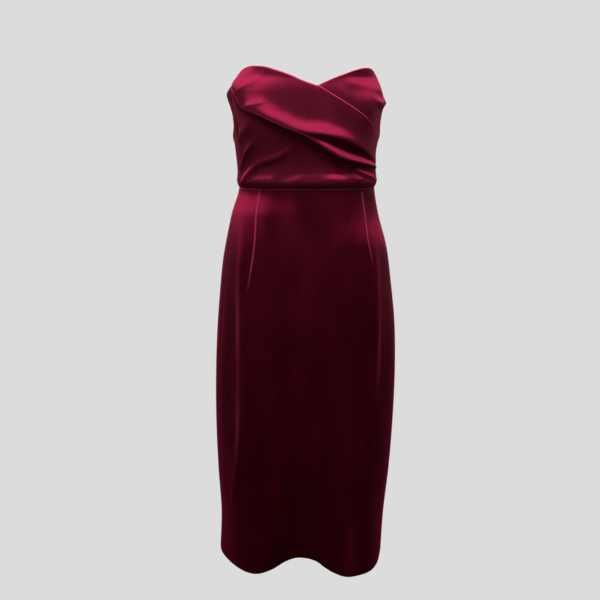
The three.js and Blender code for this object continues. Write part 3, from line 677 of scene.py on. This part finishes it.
def over_wrap_rows(angle):
    """Heights and lifts up the over wrap at each angle: seam, blousing, up behind the lip and down its
    inside, round the lip's half circle, then ridge, groove, band and top edge."""
    lines = (1, 2, 3, 4)
    band, groove, ridge, lip = (read(pleat_heights, line, angle) for line in lines)
    band_lift, groove_lift, ridge_lift, lip_lift = (read(pleat_lifts, line, angle) for line in lines)
    top = read(over_top, 1, angle)
    radius = np.minimum(lip_radius_share * (lip_lift - under_lip_lift), lip_radius)
    pocket = np.minimum(lip_pocket_share * (lip_lift - under_lip_lift), lip_pocket)
    zero = 0 * angle
    heights, lifts = [], []

    def climb(stops, bend):
        """Rows between stops of height, lift and a count of steps, as the bend spreads the lift."""
        for (low, low_lift, count), (high, high_lift, _) in zip(stops, stops[1:]):
            t = np.arange(count)[:, None] / count
            heights.append(low + (high - low) * t)
            lifts.append(low_lift + (high_lift - low_lift) * bend(t))

    climb([
        (zero + seam_gap / 2, zero, 5), (zero + 3, zero, 9), (zero + blouse_crest, zero, 40),
        (lip - 0.4, zero + under_lip_lift, 4), (lip + pocket, zero + under_lip_lift, 2),
        (lip + pocket, lip_lift - 2 * radius, 4), (lip + radius, lip_lift - 2 * radius, 1),
    ], smooth)
    turn = np.linspace(0, np.pi, 9)[:-1, None]
    heights.append(lip + radius - radius * np.sin(turn))
    lifts.append(lip_lift - radius - radius * np.cos(turn))
    climb([(lip + radius, lip_lift, 5), (ridge + 0.02, ridge_lift, 8), (groove, groove_lift, 9),
           (band, band_lift, 1)], lambda t: (smooth(t) + t) / 2)
    t = np.arange(60)[:, None] / 60
    heights.append(band + (top - band) * t)
    lifts.append(band_lift * np.exp(-(((top - band) * t / band_fall) ** 1.5)))
    heights.append(top[None])
    lifts.append(zero[None])
    return np.concatenate(heights), np.concatenate(lifts), top, lip


# The drop beside the left seam: where it starts, how soon it is full, and how far it reaches
drop_start = 66
drop_length = 14
drop_width = 6


def seam_drop(side, angle, height):
    """How far the wrap drops beside its left seam to lie level with the back, above the under wrap."""
    above = smooth((height - drop_start) / drop_length)
    return wrap_inside * edge_line(side, drop_width) * above * (angle < 0)


columns = panel_columns(-side_seam, side_seam, np.array([0.0, 90.0]), 190)[0]
height, lift, top, lip = over_wrap_rows(columns)
angle = np.broadcast_to(columns, height.shape).copy()
angle[:, 0] = panel_edge(-side_seam, 1, height[:, 0])
angle[:, -1] = panel_edge(side_seam, -1, height[:, -1])
side = side_distance(angle, height, -side_seam, side_seam)
crease = sum(crease_lift(row, angle, height) for row in over_creases)
out = wrap_outside + lift + crease - bodice_rolls(side, height, top) - seam_drop(side, angle, height)
outer = cloth(angle, height, out)
inner_height = seam_gap / 2 + (top - seam_gap / 2) * np.linspace(0, 1, len(height))[:, None]
inner_edge = np.minimum(np.minimum(side, inner_height), top - inner_height)
inside = wrap_inside + turned_edge(inner_edge) - seam_drop(side, angle, inner_height)
inner = cloth(angle, inner_height, inside)
# Painted highlight along the side seams, top edge and lip, over the bodice's faint painted fill
line_highlight = most(edge_line(side, *seam_line), edge_line(top - height, *wrap_top_line),
              edge_line(height - lip - 0.8, *lip_line) * (lift > 1), bodice_painted_fill)
over_wrap = sewn_shell("over_wrap", outer, inner, angle, height, line_highlight, inner_edge < turned_in,
                       velvet_finishes)
sewn_sheet(over_wrap, "bodice_over_wrap")

# Back bodice: velvet, cut in two halves from the side seams to the zip down the centre back, sewn to the
# skirt at the waist. The cloth is eased in over the waist and drags a little from the side seams.
# Top edge of the back by angle, at the left and at the right
back_top = np.array([
    [70, 185, 207], [76, 178, 200], [84, 173, 187], [95, 169, 176], [115, 163, 166], [145, 158, 158],
    [180, 156, 156],
])
back_creases_left = [
    (-176, -96, 1.8, 7, [14, 20, 28, 33, 42]), (-150, -72, 2.2, 8, [58, 64, 76, 94, 120]),
    (-174, -118, 1.3, 9, [112, 106, 96, 84, 76]),
]
back_creases_right = [
    (98, 174, 2, 7, [46, 34, 26, 19, 12]), (72, 140, 2, 9, [114, 90, 72, 62, 57]),
    (120, 173, 1.4, 8, [68, 80, 94, 104, 109]),
]
back_left = bodice_panel("back_bodice_left", -centre_back, -side_seam, 84, 70,
                         lambda angle: read(back_top, 1, np.abs(angle)), back_creases_left)
back_right = bodice_panel("back_bodice_right", side_seam, centre_back, 84, 70,
                          lambda angle: read(back_top, 2, np.abs(angle)), [side_tuck, *back_creases_right])
sewn_sheet(back_left, "bodice_back_left")
sewn_sheet(back_right, "bodice_back_right")

# Skirt: a front and two back panels of velvet, with a dart sewn in on each side at the waist to shape it
# over the hips. The panels are joined at the sides and centre back, and the hem is turned up inside.
hem_turn_up = 38
hem_layer_share = 0.9
hem_roll = 1
hem_roll_share = 0.7
skirt_waist_roll = 1.2
# Painted highlight beside the seams and the waist seam, each a width and a strength
skirt_seam_line = (0.7, 0.35)
waist_line = (0.9, 0.5)
# Width of the painted highlight on the long folds' crests
fold_line_width = 3.5
dart_depth = 1.5
dart_width = 0.9
dart_fade = 3
# Painted highlight beside each dart: width and strength
dart_line = (0.55, 0.6)
# Darts: length down from the waist seam, and angles at even steps down
darts = {
    "front left": {"length": 200, "angles": [-44.8, -42, -39.8, -39.6, -41, -43]},
    "front right": {"length": 150, "angles": [45.5, 46.2, 45.4, 43, 43.4, 45.5]},
    "back left": {"length": 130, "angles": [-143, -142.6, -142.4, -142.2, -142, -142]},
    "back right": {"length": 130, "angles": [143, 142.6, 142.4, 142.2, 142, 142]},
}


def skirt_panel(name, start, end, columns, rows, panel_darts, drags):
    """Skirt panel between two seams from hem to waist seam, drawn in along its darts' seam lines, with a
    highlight painted beside those lines, where the pile parts, and, unevenly, on the crests of the long
    folds."""
    share = spread([0, 0.006, 0.98, 1], [6, rows, 12])[:, None]
    angle = panel_columns(start, end, hem_height * (1 - share[:, 0]), columns, panel_darts)
    hem = hem_height + read(hem_wave, 2, angle)
    height = hem + (-seam_gap / 2 - hem) * share
    side = side_distance(angle, height, start, end)
    drawn_in, lines = 0, 0
    for dart in panel_darts:
        off = np.abs(angle - along(dart["angles"], -height / dart["length"])) * degree_length(angle, height)
        strength = smooth((1 + height / dart["length"]) * dart_fade)
        drawn_in = drawn_in + dart_depth * strength * np.exp(-((off / dart_width) ** 1.3))
        lines = np.maximum(lines, strength * edge_line(off - dart_width, *dart_line))
    for top, foot, _, _, line, angles in skirt_folds:
        t = (top - height) / (top - foot)
        off = (angle - along(angles, t)) * degree_length(angle, height)
        uneven = 0.75 + 0.25 * np.sin(height / 29 + top)
        fade = smooth(t * fold_fade) * smooth((1 - t) * fold_fade)
        lines = np.maximum(lines, line * uneven * edge_line(off, fold_line_width) * fade)
    rolls = roll(side, edge_roll) + roll(-height, skirt_waist_roll)
    rolls = rolls + roll(height - hem, hem_roll) * hem_roll_share
    pulled = sum(crease_lift(row, angle, height) for row in drags)
    inner_edge = np.minimum(np.minimum(side, -height), (height - hem) * turned_in / hem_turn_up)
    outer = cloth(angle, height, cloth_thickness + pulled - drawn_in - rolls)
    inner = cloth(angle, height, turned_edge(inner_edge) * hem_layer_share)
    # Painted highlight beside seams, waist seam and darts, and on the fold crests
    waist = edge_line(-height - skirt_waist_roll, *waist_line)
    line_highlight = most(edge_line(side, *skirt_seam_line), waist, lines)
    return sewn_shell(name, outer, inner, angle, height, line_highlight, inner_edge < turned_in, velvet_finishes)


# Drag lines, as creases: on the left back panel and on the right
left_drags = [
    (-172, -108, 0.9, 12, [-22, -34, -54, -80, -104]), (-164, -98, 0.9, 24, [-300, -292, -276, -262, -254]),
]
right_drags = [
    (96, 168, 1, 11, [-66, -60, -50, -34, -18]), (96, 166, 1, 24, [-236, -248, -268, -286, -300]),
]
skirt_front = skirt_panel("skirt_front_panel", -side_seam, side_seam, 150, 190,
                          [darts["front left"], darts["front right"]], [])
sewn_sheet(skirt_front, "skirt_front")
skirt_left = skirt_panel("skirt_back_panel_left", -centre_back, -side_seam, 90, 170,
                         [darts["back left"]], left_drags)
sewn_sheet(skirt_left, "skirt_back_left")
skirt_right = skirt_panel("skirt_back_panel_right", side_seam, centre_back, 90, 170,
                          [darts["back right"]], right_drags)
sewn_sheet(skirt_right, "skirt_back_right")

# Hem finish: the turned-up hem is held inside by slanting blind stitches of thread, each a short loop from
# the turning into the single cloth above it.
stitch_pitch = 7
stitch_rise = 3.4
stitch_slant = 2.2
stitch_proud = 0.1
stitch_sunk = 0.4
# Degrees kept clear beside each seam, and rough millimetres round the hem for one degree
clear_of_seam = 3
hem_degree = 3.1


def short_threads(name, starts, ends, radius, sides=6):
    """Short threads from starts to ends: rings round each line, as wide as the radius times the root of
    1 less the square of the way from its middle, closed by a face at both ends."""
    share = np.array([0, 0.12, 0.5, 0.88, 1])
    girth = np.sqrt(1.04 - (2 * share - 1) ** 2) * radius
    way = ends - starts
    across = np.cross(way, [0.3, 0.5, 0.8])
    across /= np.linalg.norm(across, axis=1, keepdims=True)
    third = np.cross(way, across)
    third /= np.linalg.norm(third, axis=1, keepdims=True)
    turn = np.arange(sides) * 2 * np.pi / sides
    ring = (np.cos(turn)[:, None] * across[:, None, None] + np.sin(turn)[:, None] * third[:, None, None])
    points = starts[:, None, None] + way[:, None, None] * share[:, None, None] + ring * girth[:, None, None]
    number = np.arange(points[..., 0].size).reshape(len(starts), len(share), sides)
    after = np.roll(number, -1, axis=2)
    sleeves = np.stack([number[:, :-1], after[:, :-1], after[:, 1:], number[:, 1:]], -1).reshape(-1, 4)
    caps = np.concatenate([number[:, 0, ::-1], number[:, -1]])
    mesh = bpy.data.meshes.new(name)
    mesh.from_pydata(points.reshape(-1, 3), [], sleeves.tolist() + caps.tolist())
    mesh.shade_smooth()
    mesh.validate()
    piece = bpy.data.objects.new(name, mesh)
    bpy.context.collection.objects.link(piece)
    return piece


def thread_material():
    """Dull spun thread in a darker wine colour, twisted along its length."""
    material, tree, shader = bare_material("sewing thread")
    place = tree.nodes.new("ShaderNodeTexCoord").outputs["Object"]
    twist = noise(tree, place, 4000, 2)
    tree.links.new(blend_colours(tree, twist, (0.05, 0.004, 0.012, 1), (0.12, 0.014, 0.03, 1)),
                   shader.inputs["Base Color"])
    bump_from(tree, twist, 0.0001, shader)
    shader.inputs["Roughness"].default_value = 0.7
    return material


thread = thread_material()
thread_radius = 0.22
stitch_angles = np.concatenate([
    np.arange(start + clear_of_seam, end - clear_of_seam, stitch_pitch / hem_degree)
    for start, end in ((-centre_back, -side_seam), (-side_seam, side_seam), (side_seam, centre_back))])
stitch_foot = hem_height + read(hem_wave, 2, stitch_angles) + hem_turn_up - stitch_rise / 2
hem_stitches = short_threads(
    "hem_stitches", cloth(stitch_angles, stitch_foot, -stitch_proud),
    cloth(stitch_angles + stitch_slant / hem_degree, stitch_foot + stitch_rise, stitch_sunk),
    thread_radius * mm)
hem_stitches.data.materials.append(thread)
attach(hem_stitches, "dress")

# Concealed zip down the centre back: two woven polyester tapes inside the opening, each sewn down by a row
# of stitches, and between them the coil's loops, which lock from both sides. A metal stop ends the coil.
zip_bottom = -205
zip_top = 154
zip_tape_width = 12
tape_gap = 0.8
tape_thickness = 0.7
tape_ripple = 0.12
tape_stitch_pitch = 3.2
tape_stitch_length = 2.3
tape_stitch_line = 6.5
stitches_below_top = 14
coil_pitch = 1.6
coil_depth = 2.1
coil_top = 136
coil_radius = 0.5
coil_reach = 2.3
coil_overlap = 0.9
stop_half_width = 2.6
stop_radius = 1.1
clear_of_end = 4
tape_cloth = woven_material("zip tape weave", (0.04, 0.004, 0.01, 1), (0.07, 0.009, 0.02, 1), 1500, 0.8)


def zip_tape(name, side):
    """Tape from the opening's edge outwards, as a wall between two grids that ripples a little by height."""
    height = np.linspace(zip_bottom, zip_top, 180)[:, None]
    seam = side * centre_back
    distances = np.array([1.5, 2.2, 3, 4, 6, 8, 10, 11, 11.6, zip_tape_width])
    edge = panel_edge(seam, -side, height)
    others = beside_seam(seam, -side, height, distances[None, :])
    angle = np.concatenate([edge, others], 1)
    reach = np.concatenate([[0], distances])[None, :] + 0 * height
    if side > 0:
        angle, reach = angle[:, ::-1], reach[:, ::-1]
    height = height + 0 * angle
    ripple = tape_ripple * np.sin(height / 11 + side) * smooth(reach / zip_tape_width)
    outer = cloth(angle, height, -tape_gap - ripple - roll(zip_tape_width - reach, 0.3))
    inner = cloth(angle, height, -tape_gap - tape_thickness - ripple)
    no_pile = 0 * angle
    return sewn_shell(name, outer, inner, angle, height, no_pile, no_pile > 0, [tape_cloth, tape_cloth])


for side, word in ((-1, "left"), (1, "right")):
    tape = zip_tape(f"zip_{word}_woven_tape", side)
    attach(tape, "dress")
    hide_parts(f"zip_tape_{word}")
    height = np.arange(zip_bottom + clear_of_end, zip_top - stitches_below_top, tape_stitch_pitch)
    beside = beside_seam(side * centre_back, -side, height, tape_stitch_line)
    on_tape = -tape_gap - tape_thickness - stitch_proud
    stitches = short_threads(
        f"zip_{word}_stitches", cloth(beside, height, on_tape),
        cloth(beside, height + tape_stitch_length, on_tape), thread_radius * mm)
    stitches.data.materials.append(thread)
    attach(stitches, "dress")

height = np.arange(zip_bottom + clear_of_end, coil_top, coil_pitch / 2)
turned_side = np.where(np.arange(len(height)) % 2, 1, -1)
middle = cloth(np.full(len(height), float(centre_back)), height, -coil_depth)
sideways = turned_side[:, None] * np.array([[1, 0, 0]]) * mm
coil = short_threads(
    "zip_coil", middle + coil_reach * sideways, middle - coil_overlap * sideways, coil_radius * mm)
stop_middle = cloth(np.array([float(centre_back)]), np.array([zip_bottom + clear_of_end / 2]), -coil_depth)
stop_reach = np.array([[stop_half_width * mm, 0, 0]])
stop = short_threads(
    "zip_bottom_stop", stop_middle - stop_reach, stop_middle + stop_reach, stop_radius * mm, 12)


def coil_material():
    """Dyed nylon with a waxy gloss that varies a little from loop to loop."""
    material, tree, shader = bare_material("dyed nylon coil")
    place = tree.nodes.new("ShaderNodeTexCoord").outputs["Object"]
    uneven = noise(tree, place, 600, 2)
    tree.links.new(blend_colours(tree, uneven, (0.045, 0.004, 0.012, 1), (0.11, 0.012, 0.03, 1)),
                   shader.inputs["Base Color"])
    tree.links.new(maths(tree, "MULTIPLY_ADD", uneven, 0.25, 0.3), shader.inputs["Roughness"])
    return material


coil.data.materials.append(coil_material())
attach(coil, "dress")

# Slider and pull tab: die-cast metal with rounded edges under wine enamel, worn thin where fingers hold the
# tab. The slider stays at the top of the zip and the tab swings on its eye.
edge_round = 0.28
merge_distance = 0.01
flat_angle = 1
sharp_angle = 30
enamel_wear_foot = 0.130
enamel_wear_fade = 0.006


def enamel_material():
    """Satin enamel with a faint orange peel, rubbed to grey metal in specks towards the foot of the tab."""
    material, tree, shader = bare_material("painted zip metal")
    place = tree.nodes.new("ShaderNodeTexCoord").outputs["Object"]
    axes = tree.nodes.new("ShaderNodeSeparateXYZ")
    tree.links.new(place, axes.inputs[0])
    peel = noise(tree, place, 1400, 2)
    specks = noise(tree, place, 900, 4)
    low = maths(tree, "DIVIDE", maths(tree, "SUBTRACT", enamel_wear_foot, axes.outputs[2]), enamel_wear_fade)
    low = maths(tree, "MINIMUM", maths(tree, "MAXIMUM", low, 0), 1)
    rubbed = maths(tree, "MULTIPLY", specks, maths(tree, "MULTIPLY_ADD", low, 0.6, 0.6))
    worn = maths(tree, "GREATER_THAN", rubbed, 0.66)
    paint = blend_colours(tree, peel, (0.05, 0.005, 0.012, 1), (0.085, 0.01, 0.022, 1))
    tree.links.new(blend_colours(tree, worn, paint, (0.42, 0.4, 0.4, 1)), shader.inputs["Base Color"])
    tree.links.new(worn, shader.inputs["Metallic"])
    tree.links.new(maths(tree, "MULTIPLY_ADD", peel, 0.12, 0.28), shader.inputs["Roughness"])
    bump_from(tree, peel, 0.00006, shader)
    shader.inputs["Coat Weight"].default_value = 0.3
    return material


def rounded_copy(name, node):
    """The node's own shape with its doubles merged and its edges rounded by a small bevel."""
    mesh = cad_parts[node].data.copy()
    mesh.name = name
    shape = bmesh.new()
    shape.from_mesh(mesh)
    bmesh.ops.remove_doubles(shape, verts=shape.verts, dist=merge_distance * mm)
    bmesh.ops.dissolve_limit(shape, angle_limit=np.radians(flat_angle), verts=shape.verts, edges=shape.edges)
    shape.to_mesh(mesh)
    shape.free()
    mesh.materials.clear()
    mesh.materials.append(enamel)
    mesh.shade_smooth()
    piece = bpy.data.objects.new(name, mesh)
    bpy.context.collection.objects.link(piece)
    bevel = piece.modifiers.new("rounded edges", "BEVEL")
    bevel.width = edge_round * mm
    bevel.segments = 2
    bevel.limit_method = "ANGLE"
    bevel.angle_limit = np.radians(sharp_angle)
    return piece


enamel = enamel_material()
stop.data.materials.append(enamel)
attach(stop, "dress")
for name, node, body in (
        ("zip_slider_body", "zip_slider", "dress"), ("zip_pull_tab", "zip_pull", "pull_tab")):
    piece = rounded_copy(name, node)
    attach(piece, body)
    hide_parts(node)
